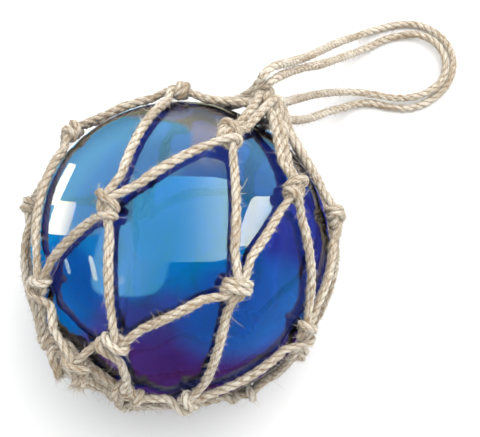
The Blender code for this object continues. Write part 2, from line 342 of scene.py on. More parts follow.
class Knot:
    """An overhand knot tied in two ropes together, which come from above and leave below."""

    def __init__(self, place, above, below, mirrored, lift=0.0):
        self.place = place
        self.above, self.below = above, below
        up = sum(heading(place, other) for other in above) - sum(heading(place, other) for other in below)
        self.up = unit(up - place * (up @ place))
        self.right = np.cross(self.up, place)
        self.mirrored = mirrored
        self.radius = LAY_RADIUS + lift
        self.ropes = None

    def order(self, others):
        """The two neighbours from left to right, as numbers in their list."""
        across = [heading(self.place, other) @ self.right for other in others]
        return sorted((0, 1), key=lambda i: (across[i], i))

    def rightward(self, other):
        """The knot's right-hand side of the way to a neighbour."""
        across = np.cross(self.place, heading(self.place, other))
        return across * np.sign(across @ self.right)

    def way_out(self, others, side=None):
        """Where one of the knot's ropes, or the middle of the pair, lies on the glass again."""
        other = others[self.order(others)[side or 0]]
        turn = min(KNOT_REACH / self.radius, LONGEST_REACH * acos(self.place @ other))
        point = cos(turn) * self.place + sin(turn) * heading(self.place, other)
        if side is not None and (others[0] == others[1]).all():
            point = point + self.rightward(other) * (side - 0.5) * PAIR_SPACING / self.radius
        return unit(point) * self.radius

    def tie(self, rounds):
        line = spaced(through(OVERHAND, 6), KNOT_POINTS)
        if self.mirrored:
            line = line * (-1, 1, 1)
        along = np.gradient(line, axis=0) * (1, 1, 0)
        left = np.cross((0, 0, 1), unit(along))
        fade = np.clip(1 - np.arange(KNOT_POINTS) / KNOT_LEAD, 0, 1)[:, None]
        ropes = []
        for side in (0, 1):
            flat = (line + left * (side - 0.5) * KNOT_GAP) * ROPE
            rope = (self.place * (self.radius + flat[:, 2:])
                    + flat[:, :1] * self.right + flat[:, 1:2] * self.up)
            rope = rope + (self.way_out(self.above, side) - rope[0]) * fade
            rope = rope + (self.way_out(self.below, side) - rope[-1]) * fade[::-1]
            ropes.append(rope)
        ends = np.zeros(KNOT_POINTS, bool)
        ends[[0, -1]] = True
        self.ropes = settle(ropes, [ends, ends], rounds, KNOT_PULL, KNOT_CONTACT, self.radius)


def tie_net(rounds):
    """Ties every knot of the net, and returns their rings."""
    places = [[net_direction(angles) for angles in ring] for ring in KNOT_RINGS]
    tail, last_tails = net_direction(TAIL_GATHER), net_direction(LAST_KNOT_TAILS)
    rings = []
    for level, ring in enumerate(places):
        knots = []
        for i, place in enumerate(ring):
            lift = 0.0
            if level > 0:
                above = [places[level - 1][i], places[level - 1][(i + 1) % MESHES]]
            else:
                above = [unit(from_gather(LOOP_GATHER, LOOP_GATHER_RADIUS, LOOP_HOOKS[i])[0])] * 2
            if level + 1 < len(places):
                below = [places[level + 1][i - 1], places[level + 1][i]]
            elif i < len(TAIL_ENDS):
                below = [tail, tail]
            else:
                below = [last_tails, last_tails]
                lift = LAST_KNOT_LIFT
            knots.append(Knot(place, above, below, (i + level) % 3 == 2, lift))
        rings.append(knots)
    for knots in rings:
        for knot in knots:
            knot.tie(rounds)
    return rings


def from_gather(gather, radius, places):
    """Places that are given in rope diameters from a gather, about the ball's centre."""
    return net_direction(gather) * radius + np.array(places) * ROPE @ np.array((NET_AXIS, SIDE_AXIS, UP_AXIS))


def beside(path, across):
    """Two paths side by side, one rope apart, which start to the left and right of a path."""
    frames = carried_frames(path, across)
    return [path + (side - 0.5) * PAIR_SPACING * frames[1] for side in (0, 1)]


def led_in(knot, others, stops):
    """The ways of a knot's two ropes over the glass and through a few stops of a gather."""
    start = knot.way_out(others)
    path = np.vstack([arc(start, stops[0], GATHER_STEP), through(stops, 8)])
    path = spaced(path, round(length_of(path) / GATHER_STEP))
    return beside(path, knot.rightward(others[0]))


def held_ends(path):
    """Says which points of a rope that runs into a gather stay where they are: its first two and its last."""
    stays = np.zeros(len(path), bool)
    stays[[0, 1, -1]] = True
    return stays


def gather_loop(knots, turns, rounds):
    """Hooks the first ring's ropes over the loop's two ropes, and draws them all tight.

    Returns the ropes' ways from their knots, two for each, and the new middle lines of the loop's ropes.
    """
    ropes, held = [], []
    for knot, hooks in zip(knots, LOOP_HOOKS):
        for path in led_in(knot, knot.above, from_gather(LOOP_GATHER, LOOP_GATHER_RADIUS, hooks)):
            ropes.append(path)
            held.append(held_ends(path))
    for route, turn in turns:
        ends = np.array(route) - BALL_CENTRE
        path = np.vstack([ends[-3:], from_gather(LOOP_GATHER, LOOP_GATHER_RADIUS, turn), ends[:3]])
        path = through(path, 8)
        path = spaced(path, round(length_of(path) / GATHER_STEP))
        fixed = [np.argmin(np.linalg.norm(path - end, axis=1)) for end in (ends[-1], ends[0])]
        stays = np.ones(len(path), bool)
        stays[fixed[0] + 1:fixed[1]] = False
        ropes.append(path)
        held.append(stays)
    ropes = settle(ropes, held, rounds, GATHER_PULL, GATHER_CONTACT)
    pairs = list(zip(ropes[0:-2:2], ropes[1:-2:2]))
    runs = []
    for path, stays in zip(ropes[-2:], held[-2:]):
        free = np.flatnonzero(~stays)
        runs.append(path[free[0] - 1:free[-1] + 2])
    return pairs, runs


def gather_tails(knots, rounds):
    """Brings the last ring's ropes together under the last knot, and returns their ways from their knots."""
    ropes, held = [], []
    for number, (knot, ends) in enumerate(zip(knots, TAIL_ENDS)):
        stops = from_gather(TAIL_GATHER, TAIL_GATHER_RADIUS, ends)
        pair = led_in(knot, knot.below, stops)
        if number == len(TAIL_ENDS) - 1:
            loose = from_gather(TAIL_GATHER, TAIL_GATHER_RADIUS, LOOSE_TAIL)
            pair[LOOSE_SIDE] = led_in(knot, knot.below, loose)[LOOSE_SIDE]
        for path in pair:
            ropes.append(path)
            held.append(held_ends(path))
    ropes += knots[-1].ropes
    held += [np.ones(KNOT_POINTS, bool)] * 2
    ropes = settle(ropes, held, rounds, GATHER_PULL, GATHER_CONTACT)[:-2]
    tails = []
    last = from_gather(TAIL_GATHER, TAIL_GATHER_RADIUS, [LAST_KNOT_ENDS])[0]
    for side, rope in enumerate(knots[-1].ropes):
        end = last + knots[-1].right * (side - 0.5) * PAIR_SPACING
        tails.append(through([rope[-1], (rope[-1] + end) / 2 + (rope[-1] - rope[-4]) / 2, end], 6))
    return list(zip(ropes[0::2], ropes[1::2])) + [tuple(tails)]


@cache
def tied_net():
    """Ties the net, and returns its rings of knots, the ropes' ways to the loop, its runs and the tails."""
    knot_rounds, gather_rounds = ((900, 220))
    rings = tie_net(knot_rounds)
    turns = ((OUTER_ROUTE, OUTER_TURN), (INNER_ROUTE, INNER_TURN))
    loop_pairs, runs = gather_loop(rings[0], turns, gather_rounds)
    return rings, loop_pairs, runs, gather_tails(rings[-1], gather_rounds)


def loop_rope(context, number):
    """One of the loop's two ropes, which closes in the gather, and the number of its last ring outside it."""
    route = through((OUTER_ROUTE, INNER_ROUTE)[number], 12)
    run = BALL_CENTRE + rounded(tied_net()[2][number], 2)
    path = np.vstack([route, run[1:-1], route[:1]])
    path = np.column_stack([path, np.ones(len(path))])
    rope = TwistedRope(path, context.scene.float_rope, np.random.default_rng(number), True)
    return rope, round(length_of(route) / length_of(path[:, :3]) * (len(rope.path) - 1))


def net_ropes(rings, loop_pairs, tail_pairs):
    """The net's ropes from end to end, two for each knot of the first ring, with the width at each."""
    ropes = []
    for start in range(MESHES):
        for side in (0, 1):
            i, at = start, side
            parts = [(loop_pairs[i][at][::-1][:-1], 1)]
            for level, ring in enumerate(rings):
                knot = ring[i]
                if level > 0:
                    parts.append((arc(parts[-1][0][-1], knot.ropes[at][0], NET_STEP)[1:], 1))
                parts.append((knot.ropes[at], KNOT_WIDTH))
                if level + 1 < len(rings):
                    below = knot.order(knot.below)[at]
                    i = (i - 1 + below) % MESHES
                    following = rings[level + 1][i]
                    at = following.order(following.above).index(1 - below)
            parts.append((tail_pairs[i][at][1:], 1))
            parts = [np.column_stack([path, np.full(len(path), width)]) for path, width in parts]
            ropes.append(np.vstack(parts))
    return ropes


# Meshes


def new_object(name, vertices, faces, look):
    mesh = bpy.data.meshes.new(name)
    mesh.from_pydata(vertices, [], faces)
    mesh.shade_smooth()
    mesh.materials.append(look)
    thing = bpy.data.objects.new(name, mesh)
    bpy.context.scene.collection.objects.link(thing)
    return thing


def carried_frames(path, first=None, along=None):
    """Directions along a path, and across it twice, which turn as little as they can."""
    if along is None:
        along = unit(np.gradient(path, axis=0))
    if first is None:
        first = np.cross(along[0], (0, 0, 1) if abs(along[0][2]) < 0.9 else (1, 0, 0))
    across = [unit(first - along[0] * (first @ along[0]))]
    for direction in along[1:]:
        last = across[-1]
        across.append(unit(last - direction * (last @ direction)))
    across = np.array(across)
    return along, across, np.cross(along, across)


STRAND_SIDES = 7
ROPE_SIDES = 3 * STRAND_SIDES
ROPE_RING_STEP = 0.0011
ROPE_TIP = 0.0006                                 # how far the middle of a cut end stands out
NET_MESHES = 4                                    # that the net's ropes are shared out to

# How uneven a rope is: the size of each unevenness, and the length over which it changes
LOOSE_TWIST, LOOSE_TWIST_LENGTH = 0.25, 0.05
LUMPS, LUMPS_LENGTH = 0.03, 0.004
BULGES, BULGES_LENGTH = 0.025, 0.016
ROUGHNESS = 0.05
CLOSING_LENGTH = 0.01                             # over which a closed rope is even, for its two ends to meet
WIDTH_BLEND = 9                                   # rings over which a rope's width changes

# Fibres
FIBRE_SIDES = 3
FIBRE_RADII = 0.00007, 0.00014
FIBRE_TAPER = 0.6                                 # of its thickness, lost towards its tip
FIBRE_BEND = 0.45
FIBRE_OFF_GLASS = 0.0002
FIBRE_OFF_FLOOR = 0.0001
FIBRE_FOOT = 0.8                                  # of the rope's radius, where a fibre starts
FRAY_LENGTH = 1.2                                 # of a short fibre, for those at a cut end
SHORT_POINTS, FRAY_POINTS, LONG_POINTS = 3, 4, 6  # along a fibre


def rope_section(strand):
    """The radius of a rope of three strands against its full radius, from groove to groove all round."""
    middle = 1 - strand
    angles = (np.arange(STRAND_SIDES) / STRAND_SIDES - 0.5) * 2 * pi / 3
    lobe = middle * np.cos(angles) + np.sqrt(strand ** 2 - (middle * np.sin(angles)) ** 2)
    return np.tile(lobe, 3)


def uneven(travelled, spacing, random):
    """A smooth random line with a mean of 0 and a spread of 1, along a length."""
    marks = np.arange(0, travelled[-1] + 2 * spacing, spacing)
    return np.interp(travelled, marks, random.normal(size=len(marks)))


class TwistedRope:
    """The rings of points round a rope of three strands."""

    def __init__(self, path, settings, random, closed=False):
        length = length_of(path[:, :3])
        rings = max(4, round(length / ROPE_RING_STEP))
        path = spaced(path, rings)
        self.path, widths = path[:, :3], path[:, 3]
        soft = np.hanning(WIDTH_BLEND) / np.hanning(WIDTH_BLEND).sum()
        widths = np.convolve(np.pad(widths, WIDTH_BLEND // 2, "edge"), soft, "valid")
        along = unit(np.gradient(self.path, axis=0))
        if closed:
            along[[0, -1]] = unit(self.path[1] - self.path[-2])
        self.along, self.right, self.up = carried_frames(self.path, None, along)
        travelled = np.linspace(0, length, rings)
        phase = random.uniform(0, 2 * pi)
        loose = LOOSE_TWIST * uneven(travelled, LOOSE_TWIST_LENGTH, random)
        fade = np.minimum(1, np.minimum(travelled, length - travelled) / CLOSING_LENGTH) if closed else 1
        lumps = LUMPS * uneven(travelled, LUMPS_LENGTH, random)
        bulges = BULGES * uneven(travelled, BULGES_LENGTH, random)
        swell = 1 + fade * (lumps + bulges)
        twist = travelled / settings.pitch * 2 * pi + phase + loose * fade
        if closed:
            end = self.right[-1]
            turned = np.arctan2(end @ self.up[0], end @ self.right[0])
            third = 2 * pi / 3
            missing = (twist[0] - twist[-1] - turned + third / 2) % third - third / 2
            twist = twist + missing * travelled / length
        section = rope_section(settings.strand)
        angles = np.arange(ROPE_SIDES) / ROPE_SIDES * 2 * pi
        turned = angles[None] + twist[:, None]
        self.radii = ROPE / 2 * settings.girth * widths * swell
        radii = self.radii[:, None] * section[None]
        radii = radii * (1 + ROUGHNESS * random.normal(size=radii.shape))
        self.points = (self.path[:, None] + (np.cos(turned) * radii)[..., None] * self.right[:, None]
                       + (np.sin(turned) * radii)[..., None] * self.up[:, None])
        self.points[..., 2] = np.maximum(self.points[..., 2], 0)
        if closed:
            self.points[-1] = self.matched(self.points[0], self.points[-1])
        start = random.uniform(0, 50)
        self.places = np.stack([np.cos(turned), np.sin(turned),
                                np.broadcast_to((travelled / ROPE + start)[:, None], turned.shape)], axis=-1)
        # How deep each point lies in a groove between strands, where the jute's painted shade darkens it
        deep = (1 - (section - section.min()) / (section.max() - section.min())) ** 1.5
        self.grooves = np.broadcast_to(deep, turned.shape)

    @staticmethod
    def matched(first, last):
        """The first ring's points in the order in which they lie nearest to the last ring's."""
        turns = [np.roll(first, shift, axis=0) for shift in range(0, len(first), STRAND_SIDES)]
        return min(turns, key=lambda points: np.abs(points - last).sum())


class RopeMesh:
    """Collects twisted ropes, and their loose fibres, for one mesh."""

    def __init__(self, settings, random):
        self.settings, self.random = settings, random
        self.vertices, self.faces = [], []
        self.places, self.grooves = [], []
        self.count = 0

    def add(self, vertices, faces, places, grooves):
        for rows in faces:
            self.faces.extend((rows + self.count).tolist())
        self.vertices.append(vertices)
        self.places.append(places)
        self.grooves.append(grooves)
        self.count += len(vertices)

    def rope(self, rope, first=0, last=None):
        """Adds a rope, or its rings from first up to and with last."""
        last = len(rope.path) - 1 if last is None else last
        rings = last - first + 1
        numbers = np.arange(rings * ROPE_SIDES).reshape(rings, ROPE_SIDES)
        after = np.roll(numbers, -1, axis=1)
        quads = np.stack([numbers[:-1], after[:-1], after[1:], numbers[1:]], axis=-1).reshape(-1, 4)
        tips = rings * ROPE_SIDES + np.arange(2)
        near = rope.path[first] - ROPE_TIP * rope.along[first]
        far = rope.path[last] + ROPE_TIP * rope.along[last]
        caps = [np.stack([after[0], numbers[0], np.full(ROPE_SIDES, tips[0])], axis=-1),
                np.stack([numbers[-1], after[-1], np.full(ROPE_SIDES, tips[1])], axis=-1)]
        ends = np.stack([near, far])
        ends[:, 2] = np.maximum(ends[:, 2], 0)
        places = np.stack([rope.places[first].mean(axis=0), rope.places[last].mean(axis=0)])
        self.add(np.vstack([rope.points[first:last + 1].reshape(-1, 3), ends]), [quads, *caps],
                 np.vstack([rope.places[first:last + 1].reshape(-1, 3), places]),
                 np.concatenate([rope.grooves[first:last + 1].ravel(), (0.5, 0.5)]))

    def fuzz(self, rope, first=0, last=None):
        """Adds the fibres that stand off a rope: many short ones, and a few long ones that curl."""
        last = len(rope.path) - 1 if last is None else last
        settings = self.settings
        whole = length_of(rope.path[first:last + 1]) * 1000
        short, long = round(whole * settings.short_fibres), round(whole * settings.long_fibres)
        self.fibres(rope, first, last, short, settings.short_length, SHORT_POINTS)
        self.fibres(rope, first, last, long, settings.long_length, LONG_POINTS)

    def fibres(self, rope, first, last, count, length, points, ends=False):
        """Adds single fibres along a rope, or at the cut end where it stops."""
        random = self.random
        at = np.full(count, last) if ends else random.integers(first + 1, last, count)
        turn = random.uniform(0, 2 * pi, count)[:, None]
        out = np.cos(turn) * rope.right[at] + np.sin(turn) * rope.up[at]
        along = rope.along[at] * (1 if ends else random.choice((-1, 1), (count, 1)))
        side = np.cross(along, out)
        way = unit(out * random.uniform(0.15, 0.9, (count, 1)) + along * random.uniform(0.5, 1.5, (count, 1))
                   + side * random.normal(0, 0.5, (count, 1)))
        size = length * random.lognormal(0, 0.4, (count, 1))
        bend = random.normal(size=(count, 3))
        bend = (bend - way * (bend * way).sum(axis=1, keepdims=True)) * FIBRE_BEND
        t = np.linspace(0, 1, points)[None, :, None]
        inwards = random.uniform(0, 0.9, (count, 1)) if ends else FIBRE_FOOT
        foot = rope.path[at] + out * rope.radii[at][:, None] * inwards
        lines = foot[:, None] + size[:, None] * (way[:, None] * t + bend[:, None] * t ** 2)
        lines = BALL_CENTRE + off_glass(lines - BALL_CENTRE, BALL_RADIUS + FIBRE_OFF_GLASS)
        lines[..., 2] = np.maximum(lines[..., 2], FIBRE_OFF_FLOOR)
        first_across = unit(np.cross(way, bend))
        second_across = np.cross(way, first_across)
        angles = np.arange(FIBRE_SIDES) / FIBRE_SIDES * 2 * pi
        thick = random.uniform(*FIBRE_RADII, (count, 1, 1, 1)) * (1 - FIBRE_TAPER * t[..., None])
        ring = (np.cos(angles)[None, None, :, None] * first_across[:, None, None]
                + np.sin(angles)[None, None, :, None] * second_across[:, None, None])
        vertices = (lines[:, :, None] + thick * ring).reshape(-1, 3)
        numbers = np.arange(count * points * FIBRE_SIDES).reshape(count, points, FIBRE_SIDES)
        after = np.roll(numbers, -1, axis=2)
        quads = np.stack([numbers[:, :-1], after[:, :-1], after[:, 1:], numbers[:, 1:]], axis=-1)
        places = np.stack([np.ones(count), np.zeros(count), random.uniform(0, 50, count)], axis=-1)
        places = np.repeat(places, points * FIBRE_SIDES, axis=0)
        faces = [quads.reshape(-1, 4), numbers[:, 0, ::-1], numbers[:, -1]]
        self.add(vertices, faces, places, np.zeros(len(vertices)))

    def make(self, name, look):
        thing = new_object(name, np.vstack(self.vertices), self.faces, look)
        mesh = thing.data
        place = mesh.attributes.new("rope_place", "FLOAT_VECTOR", "POINT")
        place.data.foreach_set("vector", np.vstack(self.places).astype(np.float32).ravel())
        groove = mesh.attributes.new("rope_groove", "FLOAT", "POINT")
        groove.data.foreach_set("value", np.concatenate(self.grooves).astype(np.float32))
        return thing


# Materials


class Value:
    """A socket whose arithmetic adds Math nodes."""

    def __init__(self, shader, socket):
        self.shader, self.socket = shader, socket

    def maths(self, operation, *others):
        node = self.shader.node("ShaderNodeMath", {"operation": operation}, dict(enumerate(others)))
        return Value(self.shader, node.outputs[0])

    def __add__(self, other):
        return self.maths("ADD", self, other)

    def __radd__(self, other):
        return self.maths("ADD", other, self)

    def __sub__(self, other):
        return self.maths("SUBTRACT", self, other)

    def __rsub__(self, other):
        return self.maths("SUBTRACT", other, self)

    def __mul__(self, other):
        return self.maths("MULTIPLY", self, other)

    def __rmul__(self, other):
        return self.maths("MULTIPLY", other, self)

    def __pow__(self, other):
        return self.maths("POWER", self, other)


class Shader:
    """The nodes of a material or of the sky."""

    def __init__(self, owner):
        owner.use_nodes = True
        self.owner = owner
        self.tree = owner.node_tree

    @property
    def surface(self):
        return self.tree.nodes["Principled BSDF"]

    def node(self, kind, settings=None, values=None):
        """Adds a node, sets it up, and gives its sockets their values or links."""
        node = self.tree.nodes.new(kind)
        for key, setting in (settings or {}).items():
            if key == "stops":
                elements = node.color_ramp.elements
                while len(elements) < len(setting):
                    elements.new(1)
                for element, (position, colour) in zip(elements, setting):
                    element.position, element.color = position, colour
            else:
                setattr(node, key, setting)
        self.feed(node, values or {})
        return node

    def feed(self, node, values):
        for key, value in values.items():
            if isinstance(value, Value):
                value = value.socket
            if isinstance(value, bpy.types.NodeSocket):
                self.tree.links.new(value, node.inputs[key])
            else:
                node.inputs[key].default_value = value

    def attribute(self, name, output):
        return Value(self, self.node("ShaderNodeAttribute", {"attribute_name": name}).outputs[output])

    def stretched(self, vector, scale):
        node = self.node("ShaderNodeVectorMath", {"operation": "MULTIPLY"}, {0: vector, 1: scale})
        return node.outputs[0]

    def noise(self, vector, scale, detail=2.0, roughness=0.5):
        values = {"Vector": vector, "Scale": scale, "Detail": detail, "Roughness": roughness}
        return Value(self, self.node("ShaderNodeTexNoise", None, values).outputs["Fac"])

    def range(self, value, low, high):
        """A value spread from low and high to 0 and 1, and held there."""
        values = {"Value": value, "From Min": low, "From Max": high}
        node = self.node("ShaderNodeMapRange", {"interpolation_type": "SMOOTHSTEP"}, values)
        return Value(self, node.outputs[0])

    def dot(self, vector, way):
        """How far a direction points one way."""
        node = self.node("ShaderNodeVectorMath", {"operation": "DOT_PRODUCT"}, {0: vector, 1: way})
        return Value(self, node.outputs["Value"])

    def mixed(self, factor, first, second):
        node = self.node("ShaderNodeMix", {"data_type": "RGBA"}, {"Factor": factor})
        self.feed(node, {6: first, 7: second})
        return node.outputs[2]


def solid(colour):
    return (*colour, 1)


def jute(settings):
    """Twisted jute: fine fibres along the rope, paler on the strands' backs, and darkened between them by
    painted shade.
    """
    shader = Shader(bpy.data.materials.new("jute"))
    place = shader.attribute("rope_place", "Vector")
    groove = shader.attribute("rope_groove", "Fac")
    strands = shader.noise(shader.stretched(place, (1, 1, 0.13)), 12, 2, 0.7)
    fibres = shader.noise(shader.stretched(place, (1, 1, 0.5)), 2.8, 3, 0.7)
    stretches = shader.noise(shader.stretched(place, (0.3, 0.3, 0.15)), 1.2, 2)
    tone = shader.range(strands * 0.5 + fibres * 0.7 + stretches * 0.5, 0.72, 1.0)
    colour = shader.mixed(tone, solid(settings.pale), solid(settings.tan))
    # Painted shade: the grooves between the strands are darkened towards the shade colour, broken up by the
    # fibre noise
    hollow = shader.range(groove * 0.7 + fibres * 1.3, 0.7, 1.5)
    colour = shader.mixed(hollow * 0.85, colour, solid(settings.shade))
    height = strands * 0.6 + fibres * 0.8
    bump = shader.node("ShaderNodeBump", None, {"Strength": 1.0, "Distance": 0.0006, "Height": height})
    shader.feed(shader.surface, {
        "Base Color": colour,
        "Roughness": 0.85,
        "Specular IOR Level": 0.25,
        "Sheen Weight": 0.25,
        "Sheen Roughness": 0.4,
        "Normal": bump.outputs[0],
    })
    return shader.owner


def blown_glass(settings):
    """Clear blue glass, whose colour deepens with its thickness."""
    shader = Shader(bpy.data.materials.new("blue_glass"))
    shader.feed(shader.surface, {
        "Base Color": (1, 1, 1, 1),
        "Roughness": 0.0,
        "IOR": 1.5,
        "Transmission Weight": 1.0,
    })
    depth = shader.node("ShaderNodeVolumeAbsorption", None,
                        {"Color": solid(settings.colour), "Density": settings.density})
    shader.tree.links.new(depth.outputs[0], shader.tree.nodes["Material Output"].inputs["Volume"])
    return shader.owner


def floor_paint(settings):
    shader = Shader(bpy.data.materials.new("pale_floor"))
    place = shader.node("ShaderNodeTexCoord").outputs["Object"]
    cloud = shader.noise(place, 6, 3)
    colour = shader.mixed(cloud, solid(settings.floor), solid([0.97 * part for part in settings.floor]))
    shader.feed(shader.surface, {"Base Color": colour, "Roughness": 0.9, "Specular IOR Level": 0.2})
    return shader.owner


# The studio's own axes, for its coloured walls: towards its front, its top and its right
FRONT_WAY = (-0.239, -0.195, 0.951)
TOP_WAY = (0.737, 0.601, 0.309)
RIGHT_WAY = (0.632, -0.775, 0.0)
WALL_STRENGTH = 12.0
WALL_STOPS = [
    (0.00, (0.05, 0.01, 0.06)), (0.12, (0.06, 0.015, 0.09)), (0.20, (0.08, 0.02, 0.14)),
    (0.27, (0.06, 0.06, 0.27)), (0.34, (0.05, 0.10, 0.32)), (0.39, (0.01, 0.22, 0.50)),
    (0.48, (0.00, 0.31, 0.62)), (0.60, (0.00, 0.26, 0.50)), (0.75, (0.08, 0.20, 0.28)),
    (0.79, (0.18, 0.26, 0.25)), (0.82, (0.38, 0.40, 0.30)), (0.90, (0.36, 0.33, 0.22)),
    (1.00, (0.14, 0.17, 0.13)),
]
# Panels on the walls: the middle and half the size, across and up, how far the sides lean, how square the
# corners and how soft the edges are, and the colours at the left and at the right
WALL_PANELS = [
    ((0.84, -0.02), (0.34, 0.46), 0.0, 2, 0.50, (0.03, 0.03, 0.20), (0.03, 0.03, 0.20)),
    ((0.42, -0.36), (0.40, 0.32), 0.3, 2, 0.60, (0.02, 0.14, 0.48), (0.02, 0.16, 0.40)),
    ((-0.72, -0.24), (0.22, 0.32), 0.0, 2, 0.50, (0.00, 0.12, 0.38), (0.00, 0.12, 0.38)),
    ((-0.44, 0.48), (0.46, 0.37), 0.3, 4, 0.20, (0.14, 0.40, 0.54), (0.14, 0.34, 0.42)),
    ((-0.28, -0.03), (0.24, 0.24), 0.2, 4, 0.25, (0.16, 0.56, 0.86), (0.05, 0.46, 0.78)),
    ((0.56, 0.62), (0.24, 0.26), 0.0, 2, 0.60, (0.10, 0.28, 0.48), (0.06, 0.20, 0.40)),
    ((0.05, 0.215), (0.33, 0.27), 0.0, 5, 0.04, (0.10, 0.54, 0.88), (0.68, 1.12, 1.12)),
    ((0.50, 0.20), (0.085, 0.16), 0.35, 8, 0.10, (1.20, 1.35, 1.15), (0.50, 0.85, 1.00)),
    ((-0.77, 0.40), (0.035, 0.13), 0.40, 8, 0.12, (1.25, 1.30, 1.10), (1.25, 1.30, 1.10)),
    ((-0.75, 0.20), (0.075, 0.105), 0.25, 8, 0.12, (1.20, 1.20, 0.98), (0.75, 0.85, 0.85)),
    ((-0.53, -0.10), (0.016, 0.075), -0.25, 4, 0.40, (0.9, 1.1, 1.0), (0.9, 1.1, 1.0)),
    ((-0.37, -0.17), (0.040, 0.022), 0.0, 4, 0.60, (0.4, 0.75, 0.9), (0.4, 0.75, 0.9)),
    ((-0.70, -0.09), (0.012, 0.05), -0.3, 4, 0.50, (0.5, 0.7, 0.8), (0.5, 0.7, 0.8)),
]


def studio_walls(shader):
    """Soft coloured walls and bright panels all round, by direction."""
    way = shader.node("ShaderNodeTexCoord").outputs["Generated"]
    spread = (shader.dot(way, FRONT_WAY) * 2 + 2.0001) ** -0.5
    across = shader.dot(way, RIGHT_WAY) * spread
    up = shader.dot(way, TOP_WAY) * spread
    cloud = shader.noise(way, 4, 4, 0.6) - 0.5
    twigs = shader.noise(shader.stretched(way, (1, 1, 3)), 8, 4, 0.7)
    ramp = shader.node("ShaderNodeValToRGB", {"stops": [(at, solid(colour)) for at, colour in WALL_STOPS]},
                       {"Fac": up * 0.5 + 0.5 + cloud * 0.14})
    colour = ramp.outputs[0]
    for (middle_across, middle_up), (wide, high), lean, power, edge, left, right in WALL_PANELS:
        rise = up - middle_up
        distance = across - middle_across - rise * lean
        sideways = ((distance * (1 / wide)) ** 2) ** (power / 2)
        upwards = ((rise * (1 / high)) ** 2) ** (power / 2)
        outside = sideways + upwards
        inside = 1 - shader.range(outside, 1 - edge, 1 + edge)
        glow = shader.mixed(shader.range(distance, -0.2 * wide, 1.3 * wide), solid(left), solid(right))
        colour = shader.mixed(inside, colour, glow)
    low = 1 - shader.range(up, -0.3, -0.05)
    colour = shader.mixed(shader.range(twigs, 0.50, 0.62) * low * 0.35, colour, solid((0.05, 0.02, 0.12)))
    rim = across * across + up * up
    return shader.mixed(shader.range(rim, 0.60, 0.92) * 0.8, colour, (0, 0, 0, 1))


def shared_material(name, make, settings):
    return bpy.data.materials.get(name) or make(settings)


# Operators


def belongs(thing, node):
    """Says that a piece rides on the root, and hides the piece of the CAD that it replaces."""
    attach(thing, "root")
    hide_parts(node)


class FLOAT_OT_camera(bpy.types.Operator):
    """Sets up the camera that looks down on the float"""

    bl_idname = "glass_float.camera"
    bl_label = "Camera"

    def execute(self, context):
        settings = context.scene.float_studio
        camera = bpy.data.cameras.new("camera")
        camera.lens = settings.lens
        camera.clip_start = 0.01
        thing = bpy.data.objects.new("camera", camera)
        context.scene.collection.objects.link(thing)
        level = cos(settings.elevation)
        back = Vector((level * cos(settings.azimuth), level * sin(settings.azimuth), sin(settings.elevation)))
        thing.location = Vector(settings.aim) + back * settings.distance
        thing.rotation_euler = back.to_track_quat("Z", "Y").to_euler()
        context.scene.camera = thing
        return {"FINISHED"}


class FLOAT_OT_loop(bpy.types.Operator):
    """Lays the two ropes of the hanging loop"""

    bl_idname = "glass_float.loop"
    bl_label = "Loop Ropes"

    def execute(self, context):
        settings = context.scene.float_rope
        look = shared_material("jute", jute, settings)
        for seed, node in enumerate(("loop_rope_outer", "loop_rope_inner")):
            rope, last = loop_rope(context, seed)
            twisted = RopeMesh(settings, np.random.default_rng(20 + seed))
            twisted.rope(rope, 0, last)
            twisted = twisted.make(node + "_twisted", look)
            fibres = RopeMesh(settings, np.random.default_rng(30 + seed))
            fibres.fuzz(rope, 0, last)
            fibres = fibres.make(node + "_fibres", look)
            belongs(twisted, node)
            belongs(fibres, node)
        return {"FINISHED"}


class FLOAT_OT_net(bpy.types.Operator):
    """Ties the net of jute rope round the ball"""

    bl_idname = "glass_float.net"
    bl_label = "Rope Net"

    def execute(self, context):
        settings = context.scene.float_rope
        look = shared_material("jute", jute, settings)
        rings, loop_pairs, _, tail_pairs = tied_net()
        ropes = net_ropes(rings, loop_pairs, tail_pairs)
        for number in range(NET_MESHES):
            group = ropes[number::NET_MESHES]
            random = np.random.default_rng(10 + number)
            mesh = RopeMesh(settings, random)
            for line in group:
                rope = TwistedRope(rounded(line, 3) + (*BALL_CENTRE, 0), settings, random)
                mesh.rope(rope)
                mesh.fuzz(rope)
                mesh.fibres(rope, 0, len(rope.path) - 1, settings.frayed_fibres,
                            FRAY_LENGTH * settings.short_length, FRAY_POINTS, True)
            belongs(mesh.make(f"net_ropes_{number}", look), "rope_net")
        random = np.random.default_rng(9)
        mesh = RopeMesh(settings, random)
        for seed in (0, 1):
            rope, last = loop_rope(context, seed)
            mesh.rope(rope, last)
            mesh.fuzz(rope, last)
        belongs(mesh.make("loop_ropes_in_gather", look), "rope_net")
        return {"FINISHED"}


GLASS_RINGS, GLASS_SEGMENTS = 96, 160
WAVES = 24                                        # inside the glass


